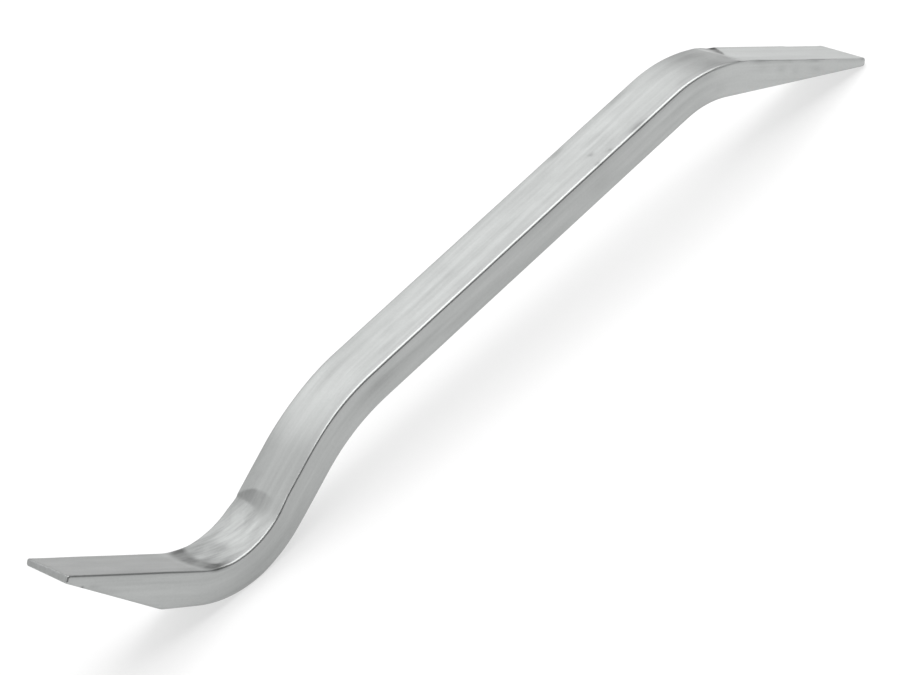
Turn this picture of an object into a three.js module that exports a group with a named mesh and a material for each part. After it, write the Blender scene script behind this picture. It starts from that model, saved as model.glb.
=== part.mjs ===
// A double-ended pry bar, forged in one piece from flat steel bar. A straight shaft runs between a
// heeled chisel on the left, offset below the shaft, and a plain chisel on the right, bent down.
//
// Millimetres and degrees. +X runs from the heeled end to the plain end, +Y across the width, +Z up.
// The bar stands on its heel and on the lower edge of its right tip. The origin lies on that
// surface, below the middle of the bar.
import * as THREE from "three";

// Bar stock.
const BAR_WIDTH = 25.4;
const BAR_THICKNESS = 14.3;
const EDGE_RADIUS = 1.2;
const SHAFT_LENGTH = 183;

// Crown bend and the straight offset below it, which lead from the shaft down to the heel. Bending
// draws the top of the crown in on each side.
const CROWN_ANGLE = 25;
const CROWN_INNER_RADIUS = 88;
const CROWN_SPREAD = -0.3;
const OFFSET_LENGTH = 24.5;

// Heel bend, with the blade's flat facet above it and the sole and heel ridge below it. Bending
// pushes the top of the heel bend out on each side.
const HEEL_ANGLE = 63.7;
const HEEL_TOP_RADIUS = 40;
const HEEL_SPREAD = 0.65;
const LEFT_FACET_LENGTH = 68;
const LEFT_TIP_THICKNESS = 3.2;
const SOLE_ANGLE = 61;
const SOLE_LENGTH = 19;

// Shoulder bend and right blade. The ramp under the blade runs tangent from its root to the tip, and
// the ground facet on top has sharper edges than the rest of the bar.
const SHOULDER_ANGLE = 36;
const SHOULDER_RADIUS = 72;
const RIGHT_FACET_LENGTH = 72.5;
const RIGHT_TIP_THICKNESS = 3.5;
const RAMP_ROOT_RADIUS = 48;
const RAMP_ROOT_SETBACK = 2;
const GROUND_EDGE_RADIUS = 0.4;

// Rounding of the tips, seen from the side and from above.
const LEFT_NOSE_RADIUS = 0.6;
const RIGHT_NOSE_RADIUS = 1.4;
const NOSE_EDGE_RADIUS = 0.2;

// Facets: the turn and the straight run between two sections, and the steps round one edge and nose.
const TURN_STEP = 4;
const RUN_STEP = 12;
const EDGE_STEPS = 4;
const NOSE_STEPS = 4;

const HALF_TURN = 180;
const QUARTER_TURN = 90;

// The point at a distance from another, along a heading in degrees, counter-clockwise from +X.
function pointFrom(start, heading, distance) {
  const angle = THREE.MathUtils.degToRad(heading);
  return new THREE.Vector2(Math.cos(angle), Math.sin(angle)).multiplyScalar(distance).add(start);
}

// The heading from one point to another, in degrees.
function headingTo(start, end) {
  return THREE.MathUtils.radToDeg(end.clone().sub(start).angle());
}

// An arc of the profile, drawn from one heading round its centre to another.
function makeArc(centre, radius, startHeading, endHeading) {
  const start = THREE.MathUtils.degToRad(startHeading);
  const end = THREE.MathUtils.degToRad(endHeading);
  const curve = new THREE.EllipseCurve(centre.x, centre.y, radius, radius, start, end, end < start);
  return { centre, radius, curve, start: curve.getPoint(0), end: curve.getPoint(1) };
}

// The heeled end, to the left of the shaft, whose top face starts at the point (0, 0).
function layOutLeftEnd() {
  const crownCentre = new THREE.Vector2(0, -BAR_THICKNESS - CROWN_INNER_RADIUS);
  const up = QUARTER_TURN + CROWN_ANGLE;
  const left = HALF_TURN + CROWN_ANGLE;
  const crownTop = makeArc(crownCentre, CROWN_INNER_RADIUS + BAR_THICKNESS, up, QUARTER_TURN);
  const crownUnder = makeArc(crownCentre, CROWN_INNER_RADIUS, up, QUARTER_TURN);

  const offsetEnd = pointFrom(crownTop.start, left, OFFSET_LENGTH);
  const heelCentre = pointFrom(offsetEnd, up, HEEL_TOP_RADIUS);
  const down = up + HALF_TURN;
  const heelTop = makeArc(heelCentre, HEEL_TOP_RADIUS, down - HEEL_ANGLE, down);
  const soleRadius = HEEL_TOP_RADIUS + BAR_THICKNESS;
  const heelUnder = makeArc(heelCentre, soleRadius, down - SOLE_ANGLE, down);

  const bladeHeading = left - HEEL_ANGLE;
  const tipTop = pointFrom(heelTop.start, bladeHeading, LEFT_FACET_LENGTH);
  const tipUnder = pointFrom(tipTop, bladeHeading + QUARTER_TURN, LEFT_TIP_THICKNESS);
  const heelRidge = pointFrom(heelUnder.start, left - SOLE_ANGLE, SOLE_LENGTH);
  return { crownTop, crownUnder, heelTop, heelUnder, tipTop, tipUnder, heelRidge };
}

// The plain end, to the right of the shaft.
function layOutRightEnd() {
  const shoulderCentre = new THREE.Vector2(SHAFT_LENGTH, -SHOULDER_RADIUS);
  const up = QUARTER_TURN - SHOULDER_ANGLE;
  const shoulder = makeArc(shoulderCentre, SHOULDER_RADIUS, QUARTER_TURN, up);
  const tipTop = pointFrom(shoulder.end, -SHOULDER_ANGLE, RIGHT_FACET_LENGTH);
  const tipUnder = pointFrom(tipTop, up + HALF_TURN, RIGHT_TIP_THICKNESS);

  const rootX = SHAFT_LENGTH + RAMP_ROOT_SETBACK;
  const rootCentre = new THREE.Vector2(rootX, -BAR_THICKNESS - RAMP_ROOT_RADIUS);
  const tangentAngle = Math.acos(RAMP_ROOT_RADIUS / rootCentre.distanceTo(tipUnder));
  const rampUp = headingTo(rootCentre, tipUnder) + THREE.MathUtils.radToDeg(tangentAngle);
  const rampRoot = makeArc(rootCentre, RAMP_ROOT_RADIUS, QUARTER_TURN, rampUp - 2 * HALF_TURN);
  return { shoulder, rampRoot, tipTop, tipUnder };
}

// The underside of the bar from the left tip to the right one, as one path.
function drawUnderside(left, right) {
  const path = new THREE.CurvePath();
  path.add(new THREE.LineCurve(left.tipUnder, left.heelRidge));
  path.add(new THREE.LineCurve(left.heelRidge, left.heelUnder.start));
  path.add(left.heelUnder.curve);
  path.add(new THREE.LineCurve(left.heelUnder.end, left.crownUnder.start));
  path.add(left.crownUnder.curve);
  path.add(new THREE.LineCurve(left.crownUnder.end, right.rampRoot.start));
  path.add(right.rampRoot.curve);
  path.add(new THREE.LineCurve(right.rampRoot.end, right.tipUnder));
  return path;
}

// The point where the line square to the top face, down from one of its points, meets the underside.
function pointBelow(top, tangent, underside) {
  const ahead = (point) => point.clone().sub(top).dot(tangent);
  for (let i = 1; i < underside.length; i += 1) {
    const before = ahead(underside[i - 1]);
    const after = ahead(underside[i]);
    if (before <= 0 && after >= 0) {
      return underside[i - 1].clone().lerp(underside[i], before / (before - after));
    }
  }
  return ahead(underside[0]) > 0 ? underside[0].clone() : underside.at(-1).clone();
}

// The sections along one stretch of the top face. Spread is added to each side of the top, and is
// greatest at the middle of the stretch.
function addStretch(sections, curve, steps, spread, edgeRadius, underside) {
  for (let i = sections.length === 0 ? 0 : 1; i <= steps; i += 1) {
    const share = i / steps;
    const top = curve.getPoint(share);
    const bulge = spread * Math.sin(Math.PI * share);
    sections.push({
      top,
      under: pointBelow(top, curve.getTangent(share), underside),
      topHalfWidth: BAR_WIDTH / 2 + bulge,
      underHalfWidth: BAR_WIDTH / 2,
      edgeRadius,
    });
  }
}

// The same section, moved along the blade and drawn in by the same amount all round.
function drawIn(section, along, inset, edgeRadius) {
  const up = section.top.clone().sub(section.under).normalize();
  return {
    top: section.top.clone().add(along).addScaledVector(up, -inset),
    under: section.under.clone().add(along).addScaledVector(up, inset),
    topHalfWidth: section.topHalfWidth - inset,
    underHalfWidth: section.underHalfWidth - inset,
    edgeRadius,
  };
}

// The sections that round off a tip, from its full section to its end face.
function makeNose(fullSection, towardsTip, noseRadius) {
  const nose = [];
  for (let i = 1; i <= NOSE_STEPS; i += 1) {
    const angle = THREE.MathUtils.degToRad((QUARTER_TURN * i) / NOSE_STEPS);
    const along = towardsTip.clone().multiplyScalar(noseRadius * Math.sin(angle));
    const inset = noseRadius * (1 - Math.cos(angle));
    const edgeRadius = Math.max(fullSection.edgeRadius - inset, NOSE_EDGE_RADIUS);
    nose.push(drawIn(fullSection, along, inset, edgeRadius));
  }
  return nose;
}

// All sections of the bar, from the left tip's end face to the right one's.
function layOutSections(left, right) {
  const underside = drawUnderside(left, right).getPoints(Math.ceil(HEEL_ANGLE / TURN_STEP));
  const turns = (angle) => Math.ceil(angle / TURN_STEP);
  const runs = (length) => Math.ceil(length / RUN_STEP);
  const leftward = pointFrom(new THREE.Vector2(), HALF_TURN + CROWN_ANGLE - HEEL_ANGLE, 1);
  const rightward = pointFrom(new THREE.Vector2(), -SHOULDER_ANGLE, 1);
  const leftRoot = left.tipTop.clone().addScaledVector(leftward, -LEFT_NOSE_RADIUS);
  const rightRoot = right.tipTop.clone().addScaledVector(rightward, -RIGHT_NOSE_RADIUS);
  const ridgeSetback = left.heelRidge.clone().sub(left.tipTop).dot(leftward);
  const aboveRidge = left.tipTop.clone().addScaledVector(leftward, ridgeSetback);

  const sections = [];
  const add = (curve, steps, spread, edgeRadius) =>
    addStretch(sections, curve, steps, spread, edgeRadius, underside);
  add(new THREE.LineCurve(leftRoot, aboveRidge), 1, 0, EDGE_RADIUS);
  add(new THREE.LineCurve(aboveRidge, left.heelTop.start), 1, 0, EDGE_RADIUS);
  add(left.heelTop.curve, turns(HEEL_ANGLE), HEEL_SPREAD, EDGE_RADIUS);
  add(new THREE.LineCurve(left.heelTop.end, left.crownTop.start), 1, 0, EDGE_RADIUS);
  add(left.crownTop.curve, turns(CROWN_ANGLE), CROWN_SPREAD, EDGE_RADIUS);
  add(new THREE.LineCurve(left.crownTop.end, right.shoulder.start), 1, 0, EDGE_RADIUS);
  add(right.shoulder.curve, turns(SHOULDER_ANGLE), 0, EDGE_RADIUS);
  add(new THREE.LineCurve(right.shoulder.end, rightRoot), runs(RIGHT_FACET_LENGTH), 0, GROUND_EDGE_RADIUS);
  return [
    ...makeNose(sections[0], leftward, LEFT_NOSE_RADIUS).reverse(),
    ...sections,
    ...makeNose(sections.at(-1), rightward, RIGHT_NOSE_RADIUS),
  ];
}

// A square of half-size 2 with corners of radius 1. Every point of it lies on one of its corners.
function drawUnitSection() {
  const shape = new THREE.Shape();
  for (let corner = 0; corner < 4; corner += 1) {
    const start = (corner * Math.PI) / 2;
    const middle = start + Math.PI / 4;
    const x = Math.sign(Math.cos(middle));
    const y = Math.sign(Math.sin(middle));
    shape.absarc(x, y, 1, start, start + Math.PI / 2, false);
  }
  return shape;
}

// Carries a point of the unit section to its place on one section of the bar.
function placeOnSection(point, section) {
  const side = Math.sign(point.x);
  const onTop = point.y > 0;
  const round = new THREE.Vector2(point.x - side, point.y - Math.sign(point.y));
  const up = section.top.clone().sub(section.under).normalize();
  const face = onTop ? section.top : section.under;
  const halfWidth = onTop ? section.topHalfWidth : section.underHalfWidth;
  const rise = section.edgeRadius * (round.y - Math.sign(point.y));
  const centre = face.clone().addScaledVector(up, rise);
  const across = side * (halfWidth - section.edgeRadius) + section.edgeRadius * round.x;
  return new THREE.Vector3(centre.x, across, centre.y);
}

// The bar's solid: the unit section extruded one step per section, with each step put in its place.
function makeBarGeometry(sections) {
  const steps = sections.length - 1;
  const geometry = new THREE.ExtrudeGeometry(drawUnitSection(), {
    steps,
    depth: steps,
    bevelEnabled: false,
    curveSegments: EDGE_STEPS / 2,
  });
  const position = geometry.getAttribute("position");
  const point = new THREE.Vector3();
  for (let i = 0; i < position.count; i += 1) {
    point.fromBufferAttribute(position, i);
    const placed = placeOnSection(point, sections[Math.round(point.z)]);
    position.setXYZ(i, placed.x, placed.y, placed.z);
  }
  return geometry;
}

// The angle that levels the line on which the bar stands, under its heel and its right tip.
function levellingAngle(heel, tipSection) {
  const up = tipSection.top.clone().sub(tipSection.under).normalize();
  const tipCentre = tipSection.under.clone().addScaledVector(up, RIGHT_NOSE_RADIUS);
  const between = tipCentre.sub(heel.centre);
  const drop = (RIGHT_NOSE_RADIUS - heel.radius) / between.length();
  return Math.asin(drop) - between.angle();
}

// Stands the bar on its heel and right tip, over the origin.
function standOnFloor(geometry, levelling) {
  geometry.rotateY(-levelling);
  geometry.computeBoundingBox();
  const middle = geometry.boundingBox.getCenter(new THREE.Vector3());
  return geometry.translate(-middle.x, -middle.y, -geometry.boundingBox.min.z);
}

const leftEnd = layOutLeftEnd();
const rightEnd = layOutRightEnd();
const sections = layOutSections(leftEnd, rightEnd);
const rightNoseRoot = sections.at(-1 - NOSE_STEPS);
const barGeometry = makeBarGeometry(sections);
standOnFloor(barGeometry, levellingAngle(leftEnd.heelUnder, rightNoseRoot));

const groundSteel = new THREE.MeshStandardMaterial({ color: 0xb0b2b1, roughness: 0.38, metalness: 1 });
const forgedBar = new THREE.Mesh(barGeometry, groundSteel);
forgedBar.name = "forged_bar";

const pryBar = new THREE.Group();
pryBar.add(forgedBar);

export default pryBar;
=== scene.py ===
import math

import bpy
import numpy as np
from mathutils import Matrix, Vector


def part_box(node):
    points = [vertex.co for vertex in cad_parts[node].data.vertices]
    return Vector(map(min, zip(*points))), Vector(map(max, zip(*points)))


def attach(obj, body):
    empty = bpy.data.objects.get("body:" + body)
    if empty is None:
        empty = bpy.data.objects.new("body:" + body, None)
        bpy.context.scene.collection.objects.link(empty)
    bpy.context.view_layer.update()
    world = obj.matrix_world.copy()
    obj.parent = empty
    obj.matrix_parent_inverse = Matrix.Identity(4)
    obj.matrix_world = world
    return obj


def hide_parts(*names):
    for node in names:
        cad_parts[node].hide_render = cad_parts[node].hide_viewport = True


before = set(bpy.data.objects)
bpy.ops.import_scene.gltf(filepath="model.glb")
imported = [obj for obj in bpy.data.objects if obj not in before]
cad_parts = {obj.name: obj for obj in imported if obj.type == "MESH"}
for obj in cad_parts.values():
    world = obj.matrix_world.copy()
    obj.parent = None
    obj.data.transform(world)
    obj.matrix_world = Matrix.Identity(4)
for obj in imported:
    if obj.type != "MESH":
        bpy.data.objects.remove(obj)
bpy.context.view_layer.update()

MM = 0.001

# Driving dimensions of the side profile, as in the CAD part.
BAR_WIDTH = 25.4 * MM
BAR_THICKNESS = 14.3 * MM
EDGE_RADIUS = 1.2 * MM
SHAFT_LENGTH = 183 * MM
CROWN_ANGLE = 25
CROWN_INNER_RADIUS = 88 * MM
OFFSET_LENGTH = 24.5 * MM
HEEL_ANGLE = 63.7
HEEL_TOP_RADIUS = 40 * MM
LEFT_FACET_LENGTH = 68 * MM
LEFT_TIP_THICKNESS = 3.2 * MM
SOLE_ANGLE = 61
SOLE_LENGTH = 19 * MM
SHOULDER_ANGLE = 36
SHOULDER_RADIUS = 72 * MM
RIGHT_FACET_LENGTH = 72.5 * MM
RIGHT_TIP_THICKNESS = 3.5 * MM
RAMP_ROOT_RADIUS = 48 * MM
RAMP_ROOT_SETBACK = 2 * MM

# Distances along the top face at which its stretches end.
CROWN_RADIUS = CROWN_INNER_RADIUS + BAR_THICKNESS
FACET_END = LEFT_FACET_LENGTH
HEEL_END = FACET_END + HEEL_TOP_RADIUS * math.radians(HEEL_ANGLE)
CROWN_START = HEEL_END + OFFSET_LENGTH
SHAFT_START = CROWN_START + CROWN_RADIUS * math.radians(CROWN_ANGLE)
SHAFT_END = SHAFT_START + SHAFT_LENGTH
CREASE = SHAFT_END + SHOULDER_RADIUS * math.radians(SHOULDER_ANGLE)
TOP_LENGTH = CREASE + RIGHT_FACET_LENGTH

# Below, a fade is the pair of places between which something grows smoothly from 0 to 1. A DROP fade
# runs down from the top face, an ACROSS fade runs across the bar, and the others run along it.

# Each side of the bar. The left blade is a little narrower on the far side. The heel bend spreads the top
# face, by more on the far side, up to this far past the bend. The near top edge is worn sharp on the
# right facet. The corners of the tips (left, right) are rounded.
NEAR_SIDE = {
    "narrowing": 0,
    "spread": 0.6 * MM,
    "spread_end": 8 * MM,
    "worn_radius": 0.12 * MM,
    "corner_radii": (0.8 * MM, 2.2 * MM),
}
FAR_SIDE = {
    "narrowing": 0.35 * MM,
    "spread": 0.85 * MM,
    "spread_end": 1 * MM,
    "worn_radius": EDGE_RADIUS,
    "corner_radii": (1.3 * MM, 1.5 * MM),
}

# The spread grows from the start of the heel bend and falls over this length. The crown draws the top
# face in.
SPREAD_FADE = (-2 * MM, 20 * MM)
SPREAD_FALL = 8 * MM
CROWN_SPREAD = -0.3 * MM
CROWN_SPREAD_POWER = 1.5

# Bending thins the bar a little under the heel. This grows past the start of the bend and fades out
# round its end.
HEEL_THINNING = 0.3 * MM
THINNING_FADE = (25 * MM, 34 * MM)
THINNING_END_FADE = (-8 * MM, 8 * MM)

# The tips are ground a little askew. On its far side, each is this much shorter than on its near side,
# and the left one is thinner by a share. The differences fade out along the blade.
LEFT_TIP_SKEW = 0.4 * MM
RIGHT_TIP_SKEW = 1.2 * MM
LEFT_TIP_THINNING = 0.15
LEFT_SKEW_LENGTH = 50 * MM
RIGHT_SKEW_LENGTH = 20 * MM

# Long top edges: (place, radius), in millimetres, with the place from the start of the heel bend. Their
# radius changes before the crease, past a place on the right facet, which is given from the start of
# the heel bend, and before the right tip.
TOP_EDGE_RADII = ((-68, 0.95), (2, 1), (20, 1.2), (34, 1.1), (48, 0.8), (70, 0.8), (110, 1.2))
GROUND_EDGE_RADIUS = 0.4 * MM
GROUND_EDGE_FADE = (-14 * MM, -2 * MM)
WORN_EDGE_FADE = (388 * MM, 391 * MM)
TIP_EDGE_FADE = (-6 * MM, -2 * MM)

# Tips: the rounding of their upper and lower edges, the length of bar with closer sections for it, and
# the least radius of the long edges there.
LEFT_NOSE_RADIUS = 0.6 * MM
RIGHT_NOSE_RADIUS = 1.4 * MM
NOSE_LENGTH = 2.4 * MM
NOSE_EDGE_RADIUS = 0.12 * MM

# The ridges where the flats meet the bends are rounded over this width, except near the tips.
RIDGE_ROUNDING = 0.8 * MM
RIDGE_FADE = (2 * MM, 8 * MM)

# Lines across the top face, as (across, along), in millimetres from the start of the heel bend. The
# ground patch in the heel bend starts on a curve and ends on a line, with a dark crescent past it. The
# shoulder and the right facet meet between the last two lines, in a wedge on the far side.
PATCH_START = 9.5 * MM
PATCH_START_CURVE = 30
PATCH_END = ((-12.7, 41), (-7, 39), (-2.6, 40.5), (0, 42.7), (5.7, 44), (12.7, 44.3))
CRESCENT_END = ((-12.7, 47), (-6.9, 48.4), (0, 49.9), (5.6, 49.7), (9.2, 47.9), (12.7, 44.8))
WEDGE_START = ((-12.7, 335.8), (-6, 336), (-1.8, 337.2), (3.9, 336.6), (12.7, 335.4))
CREASE_LINE = (
    (-12.7, 336),
    (-6, 336.1),
    (-1.8, 337.3),
    (0.2, 338.9),
    (3.3, 341.4),
    (11, 345.9),
    (12.7, 346.8),
)

# The end of the ground patch is soft on the near side and crisp on the far side.
NEAR_PATCH_BORDER = 5 * MM
FAR_PATCH_BORDER = 0.5 * MM
BORDER_ACROSS_FADE = (-5 * MM, 0.5 * MM)

# Relief: waves from forging, the scoop of the ground patch, which is deeper on the far side and rippled,
# and the right facet, ground lower than the shoulder. It fades out below the top face, away from the
# side faces and at both tips.
FACE_WAVES = 0.03 * MM
TOP_WAVE_SIZE = (40 * MM, 30 * MM)
SIDE_WAVE_SIZE = (45 * MM, 25 * MM)
NEAR_PATCH_DEPTH = 0.1225 * MM
FAR_PATCH_DEPTH = 0.35 * MM
PATCH_DEPTH_ACROSS_FADE = (-12 * MM, 2 * MM)
SCOOP_FADE = (-6 * MM, 2 * MM)
PATCH_CHATTER = 0.04 * MM
CHATTER_SIZE = (9 * MM, 9 * MM)
FACET_DEPTH = 0.12 * MM
FACET_FADE = (-0.5 * MM, 0.5 * MM)
RELIEF_FADE = (0, 4 * MM)
SIDE_ACROSS_FADE = (BAR_WIDTH / 2 - 2 * MM, BAR_WIDTH / 2 - 1 * MM)

# Dents and stains: place, size and depth (millimetres) or darkness. Places are (along, across) on the
# top face and (along, drop) on the sides, in millimetres from the start of the heel bend.
TOP_DENTS = (((389, -12.2), (1.2, 0.8), 0.25), ((26, -6), (1.2, 2.2), 0.04), ((342, 12.2), (4, 2), 0.45))
SIDE_DENTS = (((-59.7, 4.7), (0.8, 0.8), 0.3), ((362.5, 7), (2.5, 2.5), 0.05))
TOP_STAINS = (
    ((247, 10.5), (6, 2), 0.25),
    ((252.5, -4.5), (1.6, 1.6), 0.35),
    ((249.5, -11.5), (2, 1.4), 0.3),
    ((258, -10), (1.6, 1.2), 0.3),
    ((274.5, -11), (7, 2.5), 0.3),
    ((284, 11), (12, 3), 0.15),
    ((13, -10.5), (5, 2.2), 0.35),
    ((21, 1), (4, 9), 0.2),
    ((26, 9), (16, 4), 0.12),
    ((58, 7), (24, 8), 0.15),
    ((326, -2), (6, 16), 0.06),
    ((335, -4), (4.5, 14), 0.22),
    ((58, -6), (22, 9), 0.07),
    ((305, -9), (5, 3), 0.08),
    ((352, -12.4), (14, 1), 0.15),
    ((347, -12), (6, 1.2), 0.15),
    ((366, -12.5), (8, 0.8), 0.15),
    ((382, -12.4), (8, 0.8), 0.2),
)
SIDE_STAINS = (
    ((-59.7, 4.9), (0.9, 0.9), 0.6),
    ((-54, 4.5), (4, 1.5), 0.12),
    ((361.5, 4), (4, 3), 0.13),
    ((370.5, 4.5), (4, 2.5), 0.1),
    ((383, 4), (6, 2), 0.09),
    ((350, 3), (7, 2.5), 0.07),
    ((316, 2), (6, 2), 0.12),
    ((323, 9.5), (6, 3), 0.08),
    ((112, 7), (18, 6), 0.12),
    ((246, 7), (10, 4), 0.08),
)
TOP_DARKENING_DROP_FADE = (0.4 * MM, 2 * MM)
SIDE_STAIN_ACROSS_FADE = (BAR_WIDTH / 2 - 2.5 * MM, BAR_WIDTH / 2 - 1 * MM)

# A dark band lies before the ground patch, over distances back from its start: partly a smudge and partly
# painted shade where the bar there reflects its own shadow on the floor. A dark crescent past it, on the
# far side, is painted shade for the rising wall at the patch's end. Both long edges are a little dark.
BAND_SMUDGE_AND_SHADE = 0.42
BAND_FADE = (-1 * MM, 2.5 * MM)
BAND_END_FADE = (6 * MM, 11 * MM)
CRESCENT_PAINTED_SHADE = 0.2
CRESCENT_ACROSS_FADE = (-9 * MM, 3 * MM)
CRESCENT_END_FADE = (-0.6 * MM, 0.6 * MM)
EDGE_DARKENING = 0.07
EDGE_ACROSS_FADE = (BAR_WIDTH / 2 - 6 * MM, BAR_WIDTH / 2 - 1 * MM)

# The wedge's painted shade, for the hollow there that reflects dark, grows over shares of its own length,
# and ends at the crease.
WEDGE_PAINTED_SHADE = 0.68
WEDGE_SHARE_FADE = (0.1, 0.6)
WEDGE_END_FADE = (-0.3 * MM, 0.3 * MM)
WEDGE_ACROSS_FADE = (-3 * MM, 1 * MM)

# Ground faces: the patch in the heel bend, and the right blade, on its facet past the crease and on its
# sides past the end of the shaft.
PATCH_START_FADE = (-2 * MM, 2 * MM)
PATCH_DROP_FADE = (0.01 * MM, 0.12 * MM)
CREASE_FADE = (-0.3 * MM, 0.3 * MM)
BLADE_FADE = (10 * MM, 34 * MM)
GROUND_DROP_FADE = (0.05 * MM, 0.4 * MM)

# How much brighter or darker than the forged steel the right blade, the patch (and by how much more
# towards its end), the left facet and the burr before the wedge are. The right blade's gain is partly its
# fresher metal and partly painted light for the step in brightness at the crease, and the patch's
# brighter end is a painted sheen. The left facet ends at the heel bend, and the burr lies between two
# distances before the wedge.
GROUND_GAIN_AND_CREASE_LIGHT = 0.26
PATCH_GAIN = -0.44
PATCH_END_PAINTED_SHEEN = 0.04
PATCH_END_FADE = (24 * MM, 42 * MM)
LEFT_FACET_GAIN = -0.26
LEFT_FACET_FADE = (-4 * MM, 4 * MM)
LEFT_FACET_DROP_FADE = (0, 1 * MM)
BURR_GAIN = 0.25
BURR_FADE = (0, 0.6 * MM)
BURR_END_FADE = (1.4 * MM, 2.2 * MM)
BURR_ACROSS_FADE = (0, 5 * MM)
BURR_DROP_FADE = (0, 0.2 * MM)

# The finished surface is this much of its full size, which keeps it inside the CAD box. It is turned
# to stand on the floor in a few steps.
FIT_SCALE = 0.9998
STANDING_STEPS = 4

# Mesh density, and the sizes of the rings that close a tip, as shares of its outline.
SHAFT_STEP = 1.2 * MM
DETAIL_STEP = 0.6 * MM
PATH_STEP = 0.1 * MM
NOSE_STEPS = 8
TOP_RUNS = 30
SIDE_RUNS = 14
UNDER_RUNS = 18
CORNER_RUNS = 8
CAP_SHARES = (0.97, 0.9, 0.6, 0.3)

# Steel. Noise scales are in cycles per metre, along and around the bar, and turns in degrees.
GRAIN_MAP = "grain"
STEEL_COLOUR = (0.41, 0.419, 0.415)
STREAKS = {"scale": (14, 420), "detail": 5}
BANDS = {"scale": (16, 170), "detail": 3}
BLOTCHES = {"scale": (90, 200), "detail": 4}
SPECKS = {"scale": (800, 1100), "detail": 2}
SCRATCHES = {"scale": (70, 600), "detail": 4, "turn": 20}
NOISE_MEAN = 0.5
STREAK_SHADE = 0.36
BAND_SHADE = 0.3
BLOTCH_SHADE = 0.14
MOTTLE_SHADE = 0.45
SCRATCH_SHADE = 0.25
SPECK_SHADE = 0.12
# Stains and painted shade are broken up by blotches. Where they are strong they cut the steel's sheen,
# which is painted shade as well.
STAIN_AND_SHADE_BREAKUP = {"low": 0.35, "high": 0.65, "at_low": 0.7, "at_high": 1.25}
SHEEN_LOSS_FOR_STAIN_AND_SHADE = 0.75
SHEEN_POWER_FOR_STAIN_AND_SHADE = 3
FORGED_ROUGHNESS = 0.34
GROUND_ROUGHNESS = 0.5
PATCH_ROUGHNESS = 0.46
STREAK_ROUGHNESS = 0.15
BLOTCH_ROUGHNESS = 0.15
MARK_DEPTH = 0.008 * MM
SPECK_HEIGHT = 0.3

# Floor. Its glow lifts it to white under the soft light. Half its size is in metres.
FLOOR_HALF_SIZE = 12
FLOOR_COLOUR = (0.34, 0.34, 0.34, 1)
FLOOR_ROUGHNESS = 0.9
FLOOR_GLOW = 0.62

# Light. Brightness is radiance: about 1 renders as white. The sky's level is given at heights, as the
# sine of the elevation. It is raised by more on the right (+X) than on the left, and it is dim in front
# of the bar (-Y). Softboxes are sized in metres.
SKY_STOPS = ((0, 0.24), (0.13, 0.26), (0.26, 0.44), (0.4, 0.88), (0.6, 0.66), (0.68, 0.97), (0.74, 1))
SKY_SIDE = {"low": -0.45, "high": 0.1, "at_low": 1.35, "at_high": 2.1}
SKY_TURN = {"low": -0.15, "high": 0.55, "at_low": 0.3}
OVERHEAD_SOFTBOX = {"direction": (0.35, 0.02, 1), "distance": 4, "size": (4, 6.3), "brightness": 2.2}
LEFT_SOFTBOX = {"direction": (-0.65, 0.68, 0.34), "distance": 4, "size": (1.5, 1.5), "brightness": 0.7}

# The camera looks at the middle of the bar from its left front and above, and leans to one side.
VIEW_AZIMUTH = -35.446
VIEW_ELEVATION = 33.880
VIEW_LEAN = 18.243
VIEW_DISTANCE = 2.3029
VIEW_TARGET = (0, 0, 0.030)
VIEW_OFFSET = (-0.00664, -0.01467)
SENSOR_WIDTH = 36
FOCAL_LENGTH = 232.03


def smooth_step(low, high, value):
    """0 below low, 1 above high, and a smooth rise between them."""
    share = np.clip((value - low) / (high - low), 0, 1)
    return share * share * (3 - 2 * share)


def between(rise, fall, value):
    """1 between two fades of a value: it rises over the first one and falls over the second."""
    return smooth_step(*rise, value) * (1 - smooth_step(*fall, value))


def blend(first, last, share):
    """A value that goes from the first to the last as the share goes from 0 to 1."""
    return first + (last - first) * share


def wave_noise(points, scale, seed, octaves=3, waves=5, falloff=1.6, rates=(0.7, 1.4)):
    """Smooth repeatable noise between about -1 and 1, as a sum of plane waves of mixed directions."""
    random = np.random.default_rng(seed)
    total = np.zeros(np.broadcast(*points).shape)
    for octave in range(octaves):
        for _ in range(waves):
            angle = random.uniform(0, 2 * math.pi)
            phase = random.uniform(0, 2 * math.pi)
            rate = random.uniform(*rates) * 2**octave * 2 * math.pi
            along = points[0] / scale[0] * math.cos(angle)
            around = points[1] / scale[1] * math.sin(angle)
            total += np.sin(rate * (along + around) + phase) / (waves * falloff**octave)
    return total


# ---------------------------------------------------------------- side profile


def walk(start, heading, moves):
    """Distance, x, z and heading (radians) at close steps along runs and bends (length, turn)."""
    ends = np.cumsum([0] + [length for length, _ in moves])
    turns = np.radians(np.cumsum([heading] + [turn for _, turn in moves]))
    distance = np.append(np.arange(0, ends[-1], PATH_STEP), ends[-1])
    headings = np.interp(distance, ends, turns)
    middles = np.interp((distance[1:] + distance[:-1]) / 2, ends, turns)
    steps = np.diff(distance)
    x = start[0] + np.concatenate([[0], np.cumsum(np.cos(middles) * steps)])
    z = start[1] + np.concatenate([[0], np.cumsum(np.sin(middles) * steps)])
    return distance, x, z, headings


def bend(radius, turn):
    """The move that turns a path by an angle in degrees, to the left if it is positive."""
    return radius * math.radians(abs(turn)), turn


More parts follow.
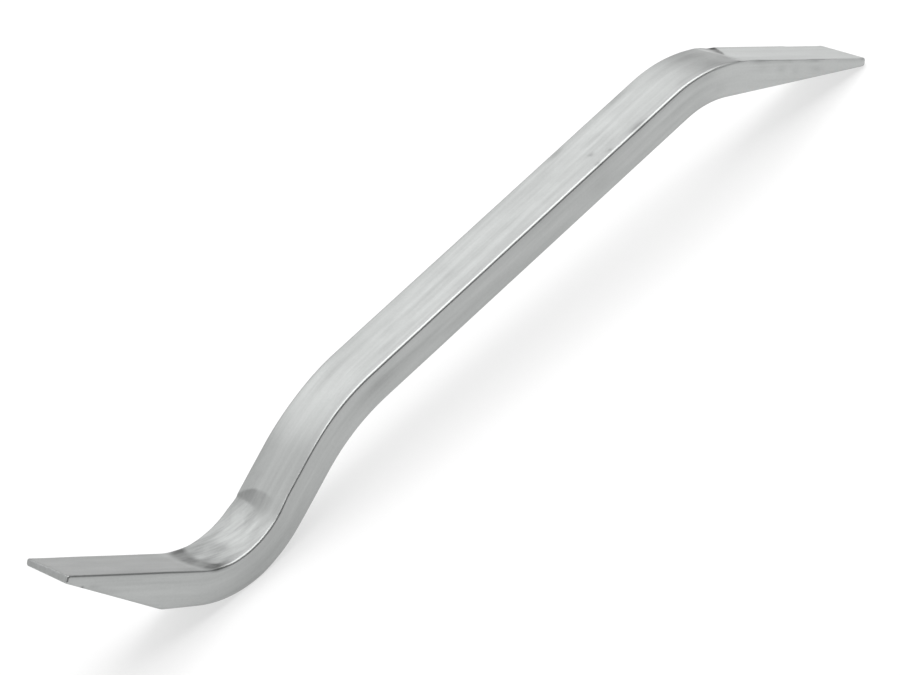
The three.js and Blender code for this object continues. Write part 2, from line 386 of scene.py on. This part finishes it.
def lay_top_path():
    """The top face from tip to tip, with the shaft level and its top face starting at x 0, z 0."""
    moves = [
        (LEFT_FACET_LENGTH, 0),
        bend(HEEL_TOP_RADIUS, HEEL_ANGLE),
        (OFFSET_LENGTH, 0),
        bend(CROWN_RADIUS, -CROWN_ANGLE),
        (SHAFT_LENGTH, 0),
        bend(SHOULDER_RADIUS, -SHOULDER_ANGLE),
        (RIGHT_FACET_LENGTH, 0),
    ]
    distance, x, z, headings = walk((0, 0), CROWN_ANGLE - HEEL_ANGLE, moves)
    x -= np.interp(SHAFT_START, distance, x)
    z -= np.interp(SHAFT_START, distance, z)
    return distance, x, z, headings


def square_off(x, z, heading, depth):
    """The point at a depth below the top face, square to it."""
    return x + depth * math.sin(heading), z - depth * math.cos(heading)


def step_ahead(x, z, heading, length):
    """The point that lies a length ahead in the direction of the heading."""
    return x + length * math.cos(heading), z + length * math.sin(heading)


def lay_underside(top_path):
    """The points of the underside, from a little beyond the left tip to a little beyond the right."""
    _, top_x, top_z, headings = top_path
    left_tip = square_off(top_x[0], top_z[0], headings[0], LEFT_TIP_THICKNESS)
    right_tip = square_off(top_x[-1], top_z[-1], headings[-1], RIGHT_TIP_THICKNESS)
    root_centre = (SHAFT_LENGTH + RAMP_ROOT_SETBACK, -BAR_THICKNESS - RAMP_ROOT_RADIUS)
    to_tip = (right_tip[0] - root_centre[0], right_tip[1] - root_centre[1])
    reach = math.hypot(*to_tip)
    tangent = math.degrees(math.atan2(to_tip[1], to_tip[0]) + math.acos(RAMP_ROOT_RADIUS / reach))
    ramp_length = math.sqrt(reach**2 - RAMP_ROOT_RADIUS**2)
    moves = [
        (SOLE_LENGTH, 0),
        bend(HEEL_TOP_RADIUS + BAR_THICKNESS, SOLE_ANGLE),
        (OFFSET_LENGTH, 0),
        bend(CROWN_INNER_RADIUS, -CROWN_ANGLE),
        (SHAFT_LENGTH + RAMP_ROOT_SETBACK, 0),
        bend(RAMP_ROOT_RADIUS, tangent - 90),
        (ramp_length, 0),
    ]
    _, x, z, _ = walk((0, 0), CROWN_ANGLE - SOLE_ANGLE, moves)
    x += right_tip[0] - x[-1]
    z += right_tip[1] - z[-1]
    beyond_left = step_ahead(*left_tip, headings[0], -MM)
    beyond_right = step_ahead(*right_tip, headings[-1], MM)
    x = np.concatenate([[beyond_left[0], left_tip[0]], x, [beyond_right[0]]])
    z = np.concatenate([[beyond_left[1], left_tip[1]], z, [beyond_right[1]]])
    return x, z


def measure_thickness(top_path, stations):
    """The bar's thickness square to its top face, at each station."""
    distance, top_x, top_z, headings = top_path
    under_x, under_z = lay_underside(top_path)
    heading = np.interp(stations, distance, headings)[:, None]
    offset_x = under_x[None, :] - np.interp(stations, distance, top_x)[:, None]
    offset_z = under_z[None, :] - np.interp(stations, distance, top_z)[:, None]
    ahead = offset_x * np.cos(heading) + offset_z * np.sin(heading)
    depth = offset_x * np.sin(heading) - offset_z * np.cos(heading)
    rows = np.arange(len(stations))
    after = np.clip(np.argmax(ahead >= 0, axis=1), 1, None)
    before = after - 1
    share = -ahead[rows, before] / (ahead[rows, after] - ahead[rows, before])
    return blend(depth[rows, before], depth[rows, after], share)


def soften(stations, values, width):
    """The running mean of a value along the bar, over a bell of that width."""
    weights = np.exp(-(((stations[:, None] - stations[None, :]) / width) ** 2) / 2)
    weights = weights * np.gradient(stations)[None, :]
    return (weights * values[None, :]).sum(axis=1) / weights.sum(axis=1)


# ---------------------------------------------------------------- relief and finish of the faces


def line_place(line, across):
    """How far along the bar a given line runs, at a place across the bar."""
    places, distances = zip(*line)
    return FACET_END + np.interp(across, np.array(places) * MM, np.array(distances) * MM)


def patch_start(across):
    """Where the ground patch in the heel bend starts, at a place across the bar."""
    return FACET_END + PATCH_START + PATCH_START_CURVE * across**2


def past_patch(along, across):
    """0 before the end of the ground patch and 1 past it."""
    border = blend(NEAR_PATCH_BORDER, FAR_PATCH_BORDER, smooth_step(*BORDER_ACROSS_FADE, across))
    return smooth_step(-1, 1, (along - line_place(PATCH_END, across)) / border)


def add_spots(spots, along, across):
    """The sum of round spots, each with its own strength in its middle and fading out round it."""
    total = 0
    for place, size, strength in spots:
        along_share = (along - FACET_END - place[0] * MM) / (size[0] * MM)
        across_share = (across - place[1] * MM) / (size[1] * MM)
        total = total + strength * np.exp(-2 * (along_share**2 + across_share**2))
    return total


def top_relief(along, across):
    """How far the top face stands above its plain profile, from grinding and forging."""
    waves = FACE_WAVES * (wave_noise((along, across), TOP_WAVE_SIZE, seed=3) - 1)
    end = line_place(CRESCENT_END, across)
    wall = end - line_place(PATCH_END, across)
    scoop = smooth_step(*SCOOP_FADE, along - patch_start(across)) * np.clip((end - along) / wall, 0, 1)
    depth = blend(NEAR_PATCH_DEPTH, FAR_PATCH_DEPTH, smooth_step(*PATCH_DEPTH_ACROSS_FADE, across))
    depth -= PATCH_CHATTER * wave_noise((along, across), CHATTER_SIZE, seed=5)
    facet = FACET_DEPTH * smooth_step(*FACET_FADE, along - line_place(WEDGE_START, across))
    return waves - scoop * depth - facet - MM * add_spots(TOP_DENTS, along, across)


def side_relief(along, drop):
    """How far a side face stands out from its plane."""
    waves = FACE_WAVES * (wave_noise((along, drop), SIDE_WAVE_SIZE, seed=11) - 1)
    return waves - MM * add_spots(SIDE_DENTS, along, drop)


def patch_finish(along, across, drop):
    """1 in the patch ground into the heel bend."""
    on_top = 1 - smooth_step(*PATCH_DROP_FADE, drop)
    after_start = smooth_step(*PATCH_START_FADE, along - patch_start(across))
    return after_start * (1 - past_patch(along, across)) * on_top


def ground_finish(along, across, drop):
    """1 on the freshly ground faces of the right blade."""
    on_top = 1 - smooth_step(*GROUND_DROP_FADE, drop)
    on_facet = smooth_step(*CREASE_FADE, along - line_place(CREASE_LINE, across))
    on_blade = smooth_step(*BLADE_FADE, along - SHAFT_END)
    return on_facet * on_top + on_blade * (1 - on_top)


def burr_finish(along, across, drop):
    """1 on the burr left on the far half of the shoulder, just before the wedge."""
    burr = between(BURR_FADE, BURR_END_FADE, line_place(WEDGE_START, across) - along)
    return burr * smooth_step(*BURR_ACROSS_FADE, across) * (1 - smooth_step(*BURR_DROP_FADE, drop))


def left_facet_top(along, drop):
    """1 on the top face of the left blade."""
    before_heel = 1 - smooth_step(*LEFT_FACET_FADE, along - FACET_END)
    return before_heel * (1 - smooth_step(*LEFT_FACET_DROP_FADE, drop))


def brightness(along, across, drop):
    """How much brighter or darker the ground faces are than the forged steel, partly painted light: the
    step at the crease and the sheen towards the patch's end.
    """
    towards_end = smooth_step(*PATCH_END_FADE, along - FACET_END)
    return (
        GROUND_GAIN_AND_CREASE_LIGHT * ground_finish(along, across, drop)
        + LEFT_FACET_GAIN * left_facet_top(along, drop)
        + (PATCH_GAIN + PATCH_END_PAINTED_SHEEN * towards_end) * patch_finish(along, across, drop)
        + BURR_GAIN * burr_finish(along, across, drop)
    )


def stains_and_painted_shade(along, across, drop):
    """How dark the steel is, from 0 to 1, in the places where it shows: stains, darker long edges, and
    painted shade in the wedge, the crescent past the patch and, in part, the band before it.
    """
    on_top = 1 - smooth_step(*TOP_DARKENING_DROP_FADE, drop)
    on_near_side = (1 - on_top) * smooth_step(*SIDE_STAIN_ACROSS_FADE, -across)
    band = between(BAND_FADE, BAND_END_FADE, patch_start(across) - along)
    crescent = past_patch(along, across) * smooth_step(*CRESCENT_ACROSS_FADE, across)
    crescent *= 1 - smooth_step(*CRESCENT_END_FADE, along - line_place(CRESCENT_END, across))
    edges = smooth_step(*EDGE_ACROSS_FADE, np.abs(across))
    wedge_start, crease = line_place(WEDGE_START, across), line_place(CREASE_LINE, across)
    wedge = smooth_step(*WEDGE_SHARE_FADE, (along - wedge_start) / np.maximum(crease - wedge_start, MM))
    wedge *= (1 - smooth_step(*WEDGE_END_FADE, along - crease)) * smooth_step(*WEDGE_ACROSS_FADE, across)
    # The band, crescent and wedge terms are painted shade; the band is partly a smudge as well.
    top = BAND_SMUDGE_AND_SHADE * band + CRESCENT_PAINTED_SHADE * crescent + EDGE_DARKENING * edges + WEDGE_PAINTED_SHADE * wedge
    top = top + add_spots(TOP_STAINS, along, across)
    side = add_spots(SIDE_STAINS, along, drop)
    return np.clip(top * on_top + side * on_near_side, 0, 1)


# ---------------------------------------------------------------- sections along the bar


def place_stations():
    """Distances along the top face at which the bar has a section, closer together off the shaft."""
    turn = np.linspace(0, math.pi / 2, NOSE_STEPS + 1)
    nose = NOSE_LENGTH * (1 - np.cos(turn[:-1]))
    stretches = [
        (NOSE_LENGTH, CROWN_START, DETAIL_STEP),
        (CROWN_START, SHAFT_END, SHAFT_STEP),
        (SHAFT_END, TOP_LENGTH - NOSE_LENGTH, DETAIL_STEP),
    ]
    body = [np.linspace(start, end, round((end - start) / step) + 1) for start, end, step in stretches]
    return np.unique(np.concatenate([nose, *body, TOP_LENGTH - nose]))


def round_off(stations, left_radius, right_radius):
    """How far a face is drawn in at each station by the rounding of the two tips."""
    left = np.clip(left_radius - stations, 0, left_radius)
    right = np.clip(right_radius - (TOP_LENGTH - stations), 0, right_radius)
    drawn_left = left_radius - np.sqrt(left_radius**2 - left**2)
    return drawn_left + right_radius - np.sqrt(right_radius**2 - right**2)


def half_width(stations, narrowing):
    """Half the width of the underside, less a narrowing that fades out over the crown."""
    return BAR_WIDTH / 2 - narrowing * (1 - smooth_step(CROWN_START, SHAFT_START, stations))


def top_spread(stations, spread, spread_end):
    """How much the top face is spread by the heel bend and drawn in by the crown."""
    rise = smooth_step(*SPREAD_FADE, stations - FACET_END)
    fall = smooth_step(spread_end - SPREAD_FALL, spread_end, stations - HEEL_END)
    share = np.clip((stations - CROWN_START) / (SHAFT_START - CROWN_START), 0, 1)
    return spread * rise * (1 - fall) + CROWN_SPREAD * np.sin(math.pi * share) ** CROWN_SPREAD_POWER


def top_edge_radius(stations, worn_radius):
    """The rounding of a long top edge, which has the worn radius on most of the right facet."""
    places, radii = np.transpose(TOP_EDGE_RADII) * MM
    radius = np.interp(stations - FACET_END, places, radii)
    radius = blend(radius, GROUND_EDGE_RADIUS, smooth_step(*GROUND_EDGE_FADE, stations - CREASE))
    radius = blend(radius, worn_radius, smooth_step(*WORN_EDGE_FADE, stations - FACET_END))
    return blend(radius, EDGE_RADIUS, smooth_step(*TIP_EDGE_FADE, stations - TOP_LENGTH))


def lay_side(stations, inset, narrowing, spread, spread_end, worn_radius, corner_radii):
    """What every section needs on one side of the bar, as arrays with one value per section."""
    under_half = half_width(stations, narrowing)
    return {
        "inset": round_off(stations, *corner_radii),
        "top_half": under_half + top_spread(stations, spread, spread_end),
        "under_half": under_half,
        "top_radius": np.maximum(top_edge_radius(stations, worn_radius) - inset, NOSE_EDGE_RADIUS),
    }


def lay_sections(top_path):
    """What every section of the bar needs, as arrays with one value per section."""
    stations = place_stations()
    inset = round_off(stations, LEFT_NOSE_RADIUS, RIGHT_NOSE_RADIUS)
    full = np.clip(stations, LEFT_NOSE_RADIUS, TOP_LENGTH - RIGHT_NOSE_RADIUS)
    thickness = measure_thickness(top_path, full)
    inner = smooth_step(*RIDGE_FADE, np.minimum(stations, TOP_LENGTH - stations))
    thickness = blend(thickness, soften(stations, thickness, RIDGE_ROUNDING), inner)
    under_heel = smooth_step(*THINNING_FADE, stations - FACET_END)
    thickness -= HEEL_THINNING * under_heel * (1 - smooth_step(*THINNING_END_FADE, stations - HEEL_END))
    return {
        "stations": stations,
        "inset": inset,
        "thickness": thickness,
        "under_radius": np.maximum(EDGE_RADIUS - inset, NOSE_EDGE_RADIUS),
        "near": lay_side(stations, inset, **NEAR_SIDE),
        "far": lay_side(stations, inset, **FAR_SIDE),
    }


def corner_points(section, side, on_top):
    """The arc that rounds one long edge: across and drop arrays, one row per section."""
    start = 0 if side > 0 else math.pi / 2
    angles = np.linspace(start, start + math.pi / 2, CORNER_RUNS + 1)
    edge = section["far"] if side > 0 else section["near"]
    radius = edge["top_radius"] if on_top else section["under_radius"]
    width = edge["top_half" if on_top else "under_half"] - edge["inset"]
    face = section["inset"] if on_top else section["thickness"] - section["inset"]
    down = 1 if on_top else -1
    if not on_top:
        angles = angles[::-1]
    across = side * (width - radius)[:, None] + radius[:, None] * np.cos(angles)[None, :]
    drop = (face + down * radius)[:, None] - down * radius[:, None] * np.sin(angles)[None, :]
    return across, drop


def join_run(first, last, runs):
    """The points strictly between two columns of points, evenly spaced."""
    shares = np.arange(1, runs)[None, :] / runs
    return blend(first[:, None], last[:, None], shares)


def make_rings(section):
    """Across and drop of every point of every section, round from the far top edge."""
    corners = [
        corner_points(section, 1, True),
        corner_points(section, -1, True),
        corner_points(section, -1, False),
        corner_points(section, 1, False),
    ]
    runs = [TOP_RUNS, SIDE_RUNS, UNDER_RUNS, SIDE_RUNS]
    across, drop = [], []
    for here, there, count in zip(corners, corners[1:] + corners[:1], runs):
        across += [here[0], join_run(here[0][:, -1], there[0][:, 0], count)]
        drop += [here[1], join_run(here[1][:, -1], there[1][:, 0], count)]
    return np.hstack(across), np.hstack(drop)


def skew_tips(along, across, drop):
    """Distances along and below the top face, with both tips ground askew."""
    far_share = (across + BAR_WIDTH / 2) / BAR_WIDTH
    left = far_share * np.clip(1 - along / LEFT_SKEW_LENGTH, 0, 1)
    right = far_share * np.clip(1 - (TOP_LENGTH - along) / RIGHT_SKEW_LENGTH, 0, 1)
    return along + LEFT_TIP_SKEW * left - RIGHT_TIP_SKEW * right, drop * (1 - LEFT_TIP_THINNING * left)


def stand_on_floor(x, z):
    """Turns and moves the bar so that it stands on its heel and its right tip, over the CAD box."""
    for _ in range(STANDING_STEPS):
        left = x < (x.min() + x.max()) / 2
        heel = np.argmin(np.where(left, z, np.inf))
        tip = np.argmin(np.where(left, np.inf, z))
        slope = math.atan2(z[tip] - z[heel], x[tip] - x[heel])
        x, z = (
            x * math.cos(slope) + z * math.sin(slope),
            z * math.cos(slope) - x * math.sin(slope),
        )
    low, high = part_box("forged_bar")
    x = (low.x + high.x) / 2 + FIT_SCALE * (x - (x.min() + x.max()) / 2)
    z = low.z + FIT_SCALE * (z - z.min())
    return x, z


def shape_bar():
    """Positions of all ring points, with their distance along, across and below the top face."""
    top_path = lay_top_path()
    section = lay_sections(top_path)
    across, drop = make_rings(section)
    along = np.repeat(section["stations"][:, None], across.shape[1], axis=1)
    off_tips = smooth_step(*RELIEF_FADE, np.minimum(along, TOP_LENGTH - along))
    lift = top_relief(along, across) * (1 - smooth_step(*RELIEF_FADE, drop)) * off_tips
    sideways = smooth_step(*SIDE_ACROSS_FADE, np.abs(across)) * np.sign(across)
    swell = side_relief(along, drop) * sideways * off_tips
    distance, top_x, top_z, headings = top_path
    along, drop = skew_tips(along, across, drop)
    heading = np.interp(along, distance, headings)
    x = np.interp(along, distance, top_x) + np.sin(heading) * (drop - lift)
    z = np.interp(along, distance, top_z) - np.cos(heading) * (drop - lift)
    x, z = stand_on_floor(x.ravel(), z.ravel())
    points = np.column_stack([x, (across + swell).ravel(), z])
    return points, along, across, drop


# ---------------------------------------------------------------- mesh


def join_rings(outer, inner, flip):
    """The quads between two rings of point numbers, turned over if flip is set."""
    quads = zip(outer, np.roll(outer, -1), np.roll(inner, -1), inner)
    faces = [tuple(int(corner) for corner in quad) for quad in quads]
    return [face[::-1] for face in faces] if flip else faces


def close_tip(points, faces, rim, flip):
    """Closes one tip with smaller and smaller rings towards its middle, and adds their points."""
    edge = points[rim]
    middle = edge.mean(axis=0)
    outer = rim
    for share in CAP_SHARES:
        inner = len(points) + np.arange(len(rim))
        points = np.vstack([points, middle + (edge - middle) * share])
        faces += join_rings(outer, inner, flip)
        outer = inner
    centre = len(points)
    corners = [(int(here), int(there), centre) for here, there in zip(outer, np.roll(outer, -1))]
    faces += [corner[::-1] for corner in corners] if flip else corners
    return np.vstack([points, middle])


def add_mask(mesh, name, values):
    """Stores one number per vertex, which is 0 on the tips' end faces."""
    data = np.zeros(len(mesh.vertices), dtype=np.float32)
    data[: values.size] = values.ravel()
    mesh.attributes.new(name, "FLOAT", "POINT").data.foreach_set("value", data)


def add_grain_map(mesh, along, points):
    """A UV map in metres: distance along the bar and round the section, or y and z on the end faces."""
    sections, ring = along.shape
    rings = points[: sections * ring].reshape(sections, ring, 3)
    gaps = np.linalg.norm(np.roll(rings, -1, axis=1) - rings, axis=2)
    around = np.hstack([np.zeros((sections, 1)), np.cumsum(gaps, axis=1)])
    here, there = around[:, :-1], around[:, 1:]
    v = np.stack([here[:-1], there[:-1], there[1:], here[1:]], axis=-1)
    u = np.stack([along[:-1], along[:-1], along[1:], along[1:]], axis=-1)
    tube = np.column_stack([u.ravel(), v.ravel()])
    corners = np.zeros(len(mesh.loops), dtype=np.int32)
    mesh.loops.foreach_get("vertex_index", corners)
    caps = points[corners[len(tube) :]][:, [2, 1]]
    grain = mesh.uv_layers.new(name=GRAIN_MAP)
    grain.data.foreach_set("uv", np.vstack([tube, caps]).astype(np.float32).ravel())


def make_bar():
    """The bar as one closed fine mesh, with the masks that its material reads."""
    points, along, across, drop = shape_bar()
    rings = np.arange(along.size).reshape(along.shape)
    faces = []
    for here, there in zip(rings[:-1], rings[1:]):
        faces += join_rings(here, there, False)
    points = close_tip(points, faces, rings[0], True)
    points = close_tip(points, faces, rings[-1], False)
    mesh = bpy.data.meshes.new("pry_bar")
    mesh.from_pydata(points.tolist(), [], faces)
    mesh.update()
    mesh.shade_smooth()
    add_mask(mesh, "ground", ground_finish(along, across, drop))
    add_mask(mesh, "patch", patch_finish(along, across, drop))
    add_mask(mesh, "brightness", brightness(along, across, drop))
    add_mask(mesh, "stains_and_painted_shade", stains_and_painted_shade(along, across, drop))
    add_grain_map(mesh, along, points)
    bar = bpy.data.objects.new("pry_bar", mesh)
    bpy.context.scene.collection.objects.link(bar)
    return bar


# ---------------------------------------------------------------- materials


def new_material(name):
    """An empty node material and its Principled shader."""
    material = bpy.data.materials.new(name)
    material.use_nodes = True
    nodes = material.node_tree.nodes
    nodes.clear()
    shader = nodes.new("ShaderNodeBsdfPrincipled")
    output = nodes.new("ShaderNodeOutputMaterial")
    material.node_tree.links.new(shader.outputs["BSDF"], output.inputs["Surface"])
    return material, shader


def feed(tree, socket, value):
    """Gives an input a number, or the output of another node."""
    if isinstance(value, (int, float)):
        socket.default_value = value
    else:
        tree.links.new(value, socket)


def calculate(tree, operation, *values):
    """A Math node on numbers or sockets."""
    node = tree.nodes.new("ShaderNodeMath")
    node.operation = operation
    for socket, value in zip(node.inputs, values):
        feed(tree, socket, value)
    return node.outputs["Value"]


def add_weighted(tree, start, *terms):
    """A start value plus each (value, weight) term."""
    total = start
    for value, weight in terms:
        total = calculate(tree, "MULTIPLY_ADD", value, weight, total)
    return total


def smooth_range(tree, value, low, high, at_low, at_high):
    """A number that goes smoothly from one value to another as its input goes from low to high."""
    node = tree.nodes.new("ShaderNodeMapRange")
    node.interpolation_type = "SMOOTHSTEP"
    feed(tree, node.inputs["Value"], value)
    feed(tree, node.inputs["From Min"], low)
    feed(tree, node.inputs["From Max"], high)
    feed(tree, node.inputs["To Min"], at_low)
    feed(tree, node.inputs["To Max"], at_high)
    return node.outputs["Result"]


def ramp_stops(tree, value, stops):
    """A grey level read off a ramp through (place, level) stops. Levels lie between 0 and 1."""
    node = tree.nodes.new("ShaderNodeValToRGB")
    node.color_ramp.interpolation = "EASE"
    elements = node.color_ramp.elements
    for element, (place, _) in zip(elements, (stops[0], stops[-1])):
        element.position = place
    for place, _ in stops[1:-1]:
        elements.new(place)
    for element, (_, level) in zip(elements, stops):
        element.color = (level, level, level, 1)
    tree.links.new(value, node.inputs["Fac"])
    return node.outputs["Color"]


def read_mask(tree, name):
    """A mask stored on the mesh."""
    node = tree.nodes.new("ShaderNodeAttribute")
    node.attribute_name = name
    return node.outputs["Fac"]


def make_noise(tree, scale, detail, turn=0):
    """Noise on the grain map, as a number near its mean."""
    grain = tree.nodes.new("ShaderNodeUVMap")
    grain.uv_map = GRAIN_MAP
    mapping = tree.nodes.new("ShaderNodeMapping")
    mapping.vector_type = "TEXTURE"
    mapping.inputs["Rotation"].default_value[2] = math.radians(turn)
    mapping.inputs["Scale"].default_value = (1 / scale[0], 1 / scale[1], 1)
    noise = tree.nodes.new("ShaderNodeTexNoise")
    noise.inputs["Scale"].default_value = 1
    noise.inputs["Detail"].default_value = detail
    tree.links.new(grain.outputs["UV"], mapping.inputs["Vector"])
    tree.links.new(mapping.outputs["Vector"], noise.inputs["Vector"])
    return noise.outputs["Fac"]


def make_steel():
    """Forged steel, brushed lengthwise, with scratches in its ground patch, a bright blade that is partly
    painted light, stains and painted shade.
    """
    material, shader = new_material("ground_steel")
    tree = material.node_tree
    patch = read_mask(tree, "patch")
    streaks = make_noise(tree, **STREAKS)
    blotches = make_noise(tree, **BLOTCHES)
    bands = make_noise(tree, **BANDS)
    specks = make_noise(tree, **SPECKS)
    brushing = calculate(tree, "MULTIPLY", streaks, calculate(tree, "SUBTRACT", 1, patch))
    scratching = calculate(tree, "MULTIPLY", make_noise(tree, **SCRATCHES), patch)
    mottling = calculate(tree, "MULTIPLY", blotches, patch)
    marks = calculate(tree, "ADD", brushing, scratching)

    # The stain mask also holds painted shade. Where it is strong, the Specular Tint cuts the steel's
    # sheen, which is more painted shade.
    breakup = smooth_range(tree, blotches, **STAIN_AND_SHADE_BREAKUP)
    stain_and_shade = calculate(tree, "MULTIPLY", read_mask(tree, "stains_and_painted_shade"), breakup)
    dulling = calculate(tree, "POWER", stain_and_shade, SHEEN_POWER_FOR_STAIN_AND_SHADE)
    tree.links.new(add_weighted(tree, 1, (dulling, -SHEEN_LOSS_FOR_STAIN_AND_SHADE)), shader.inputs["Specular Tint"])

    shade = add_weighted(
        tree,
        1 - NOISE_MEAN * (STREAK_SHADE + BAND_SHADE + BLOTCH_SHADE + SPECK_SHADE),
        (marks, STREAK_SHADE),
        (bands, BAND_SHADE),
        (blotches, BLOTCH_SHADE),
        (mottling, MOTTLE_SHADE),
        (scratching, SCRATCH_SHADE),
        (specks, SPECK_SHADE),
        (read_mask(tree, "brightness"), 1),
    )
    shade = calculate(tree, "MULTIPLY", shade, calculate(tree, "SUBTRACT", 1, stain_and_shade))
    colour = tree.nodes.new("ShaderNodeVectorMath")
    colour.operation = "SCALE"
    colour.inputs[0].default_value = STEEL_COLOUR
    tree.links.new(shade, colour.inputs["Scale"])
    tree.links.new(colour.outputs["Vector"], shader.inputs["Base Color"])

    roughness = add_weighted(
        tree,
        FORGED_ROUGHNESS - NOISE_MEAN * (STREAK_ROUGHNESS + BLOTCH_ROUGHNESS),
        (marks, STREAK_ROUGHNESS),
        (blotches, BLOTCH_ROUGHNESS),
        (read_mask(tree, "ground"), GROUND_ROUGHNESS - FORGED_ROUGHNESS),
        (patch, PATCH_ROUGHNESS - FORGED_ROUGHNESS),
    )
    tree.links.new(roughness, shader.inputs["Roughness"])

    bump = tree.nodes.new("ShaderNodeBump")
    bump.inputs["Strength"].default_value = 1
    bump.inputs["Distance"].default_value = MARK_DEPTH
    tree.links.new(add_weighted(tree, marks, (specks, SPECK_HEIGHT)), bump.inputs["Height"])
    tree.links.new(bump.outputs["Normal"], shader.inputs["Normal"])
    shader.inputs["Metallic"].default_value = 1
    return material


def make_floor_material():
    """A plain pale floor."""
    material, shader = new_material("pale_floor")
    shader.inputs["Base Color"].default_value = FLOOR_COLOUR
    shader.inputs["Roughness"].default_value = FLOOR_ROUGHNESS
    shader.inputs["Emission Color"].default_value = (1, 1, 1, 1)
    shader.inputs["Emission Strength"].default_value = FLOOR_GLOW
    return material


# ---------------------------------------------------------------- stage


def make_floor():
    """A wide flat floor under the bar."""
    size = FLOOR_HALF_SIZE
    mesh = bpy.data.meshes.new("floor")
    corners = [(-size, -size, 0), (size, -size, 0), (size, size, 0), (-size, size, 0)]
    mesh.from_pydata(corners, [], [(0, 1, 2, 3)])
    floor = bpy.data.objects.new("floor", mesh)
    floor.data.materials.append(make_floor_material())
    bpy.context.scene.collection.objects.link(floor)
    return floor


def make_softbox(name, direction, distance, size, brightness):
    """A rectangular soft light that faces the bar. Brightness is the radiance of its face."""
    data = bpy.data.lights.new(name, "AREA")
    data.shape = "RECTANGLE"
    data.size, data.size_y = size
    data.energy = brightness * math.pi * size[0] * size[1]
    light = bpy.data.objects.new(name, data)
    away = Vector(direction).normalized()
    light.location = away * distance
    light.rotation_euler = away.to_track_quat("Z", "Y").to_euler()
    light.visible_camera = False
    bpy.context.scene.collection.objects.link(light)


def make_world():
    """A pale studio: bright behind the bar and above it, dim on the camera's side."""
    world = bpy.data.worlds.new("studio")
    bpy.context.scene.world = world
    world.use_nodes = True
    tree = world.node_tree
    tree.nodes.clear()
    direction = tree.nodes.new("ShaderNodeTexCoord")
    split = tree.nodes.new("ShaderNodeSeparateXYZ")
    background = tree.nodes.new("ShaderNodeBackground")
    output = tree.nodes.new("ShaderNodeOutputWorld")
    tree.links.new(direction.outputs["Generated"], split.inputs["Vector"])
    tree.links.new(background.outputs["Background"], output.inputs["Surface"])
    height = ramp_stops(tree, split.outputs["Z"], SKY_STOPS)
    side = smooth_range(tree, split.outputs["X"], **SKY_SIDE)
    behind = calculate(tree, "MULTIPLY", height, side)
    level = smooth_range(tree, split.outputs["Y"], **SKY_TURN, at_high=behind)
    tree.links.new(level, background.inputs["Strength"])


def make_camera():
    """The camera at the reference view: a long lens, leaning to one side."""
    azimuth, elevation = math.radians(VIEW_AZIMUTH), math.radians(VIEW_ELEVATION)
    lean = math.radians(VIEW_LEAN)
    back = Vector((
        math.sin(azimuth) * math.cos(elevation),
        -math.cos(azimuth) * math.cos(elevation),
        math.sin(elevation),
    ))
    level = Vector((math.cos(azimuth), math.sin(azimuth), 0))
    upright = back.cross(level)
    right = level * math.cos(lean) - upright * math.sin(lean)
    up = level * math.sin(lean) + upright * math.cos(lean)
    data = bpy.data.cameras.new("camera")
    data.sensor_width = SENSOR_WIDTH
    data.lens = FOCAL_LENGTH
    camera = bpy.data.objects.new("camera", data)
    place = Vector(VIEW_TARGET) + right * VIEW_OFFSET[0] + up * VIEW_OFFSET[1] + back * VIEW_DISTANCE
    turn = Matrix((right, up, back)).transposed()
    camera.matrix_world = Matrix.Translation(place) @ turn.to_4x4()
    bpy.context.scene.collection.objects.link(camera)
    bpy.context.scene.camera = camera


make_camera()
bpy.context.scene.view_settings.view_transform = "Standard"
make_world()
make_softbox("overhead_softbox", **OVERHEAD_SOFTBOX)
make_softbox("left_softbox", **LEFT_SOFTBOX)

bar = make_bar()
bar.data.materials.append(make_steel())
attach(bar, "root")
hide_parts("forged_bar")
make_floor()
